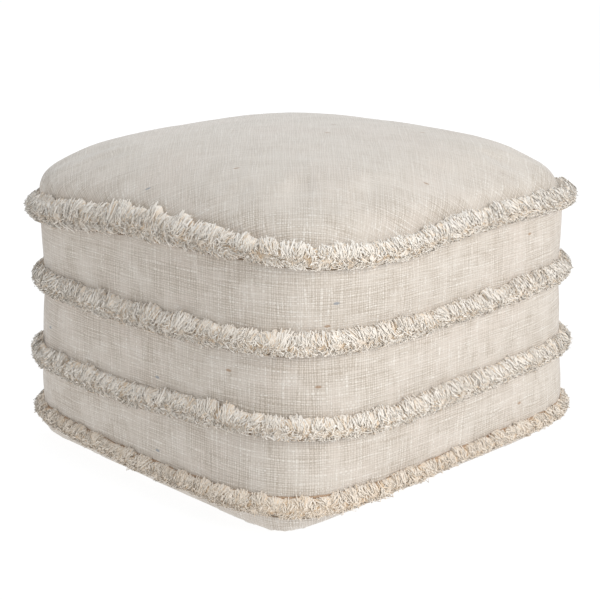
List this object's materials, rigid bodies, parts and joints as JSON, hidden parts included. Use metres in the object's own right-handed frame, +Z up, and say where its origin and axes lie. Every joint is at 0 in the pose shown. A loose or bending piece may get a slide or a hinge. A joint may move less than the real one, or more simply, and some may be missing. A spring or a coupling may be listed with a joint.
{
  "type": "cube pouf stool",
  "caption": "Filled cube pouf stool in woven cotton, with rounded edges, a crowned top and level bands of shaggy cut-yarn fringe sewn round its sides.",
  "frame": {"origin": "on the floor, in the flat underside that the stool rests on, below the middle of its walls", "axes": "+Z up; the four walls face +X, -X, +Y and -Y"},
  "size_m": [0.5393, 0.5344, 0.374],
  "materials": {
    "cloth": "cream slub-weave cotton, matt",
    "fringe": "cream cut cotton yarn, matt and shaggy"
  },
  "bodies": {
    "root": {"cover": "cloth", "fringe_top": "fringe", "fringe_upper": "fringe", "fringe_lower": "fringe", "fringe_base": "fringe"}
  },
  "joints": []
}
